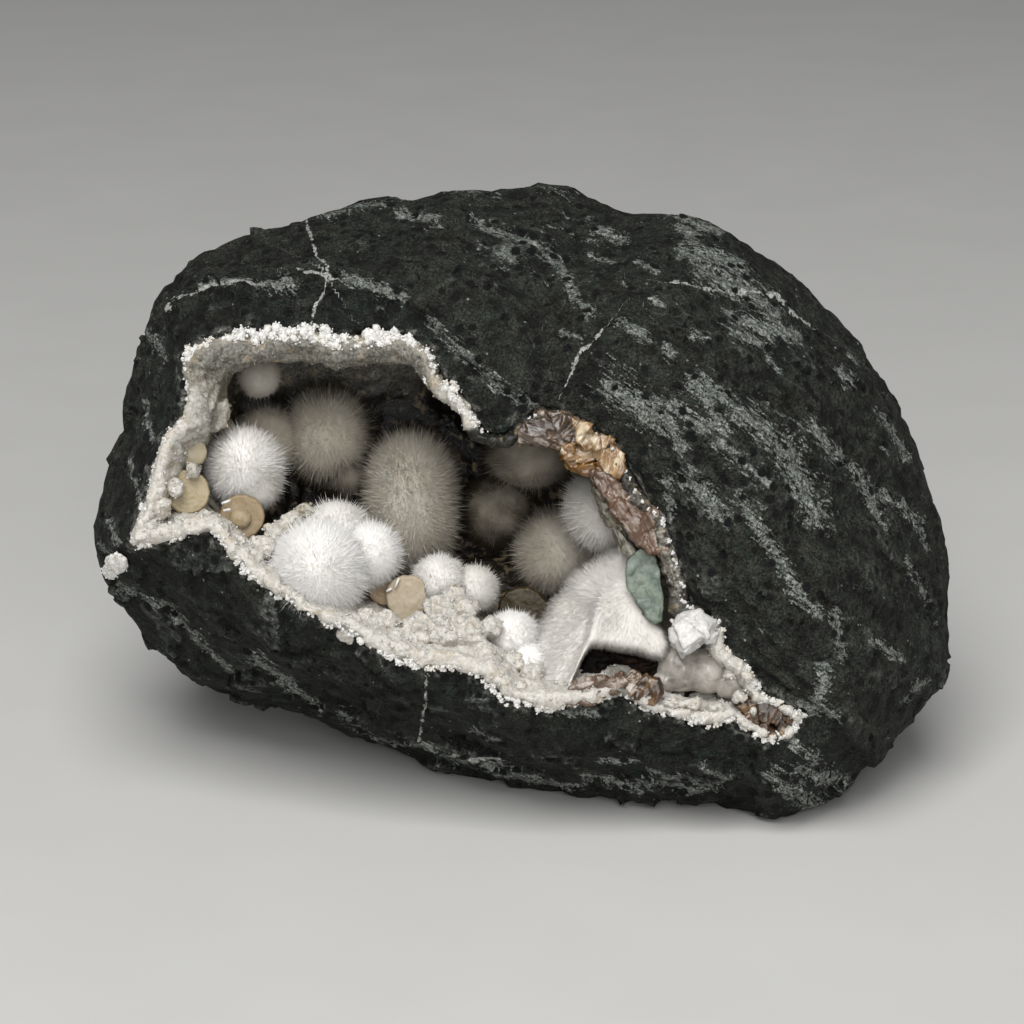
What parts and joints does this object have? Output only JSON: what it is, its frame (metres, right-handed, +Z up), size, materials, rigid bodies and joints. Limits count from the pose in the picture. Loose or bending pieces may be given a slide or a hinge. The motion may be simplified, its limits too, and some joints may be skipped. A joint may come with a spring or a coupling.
{
  "type": "okenite puffball specimen",
  "caption": "Loose basalt lump with an open hollow lined by a white crust, holding white okenite puffballs with gyrolite discs, calcite blades and a chalcedony pocket.",
  "frame": {"origin": "middle of the footprint box, on the surface that the lump rests on", "axes": "+X to the right along the lump's length, seen from its open side, +Z up, and -Y out of the open side"},
  "size_m": [0.181, 0.1193, 0.1171],
  "materials": {
    "basalt": "matte",
    "crust": "satin",
    "okenite": "matte",
    "gyrolite": "satin",
    "calcite": "gloss",
    "green_mineral": "satin",
    "chalk": "matte",
    "chalcedony": "gloss"
  },
  "bodies": {
    "root": {"basalt_matrix": "basalt", "vug_crust": "crust", "crust_patch_left": "crust", "okenite_ball_left": "okenite", "okenite_cluster_left": "okenite", "okenite_column": "okenite", "okenite_cluster_front": "okenite", "okenite_pair_low": "okenite", "okenite_ball_low": "okenite", "okenite_ball_right": "okenite", "okenite_cluster_back": "okenite", "okenite_ball_roof": "okenite", "okenite_fan": "okenite", "gyrolite_bead_left": "gyrolite", "gyrolite_bead_upper": "gyrolite", "gyrolite_disc_front": "gyrolite", "gyrolite_disc_behind": "gyrolite", "gyrolite_disc_brown": "gyrolite", "gyrolite_disc_left_upper": "gyrolite", "gyrolite_disc_left_ringed": "gyrolite", "gyrolite_disc_left_lower": "gyrolite", "calcite_blades_upper": "calcite", "calcite_blades_right": "calcite", "calcite_blades_tail": "calcite", "calcite_blades_low": "calcite", "green_plate": "green_mineral", "white_chunk": "chalk", "chalcedony_pocket": "chalcedony"}
  },
  "joints": []
}
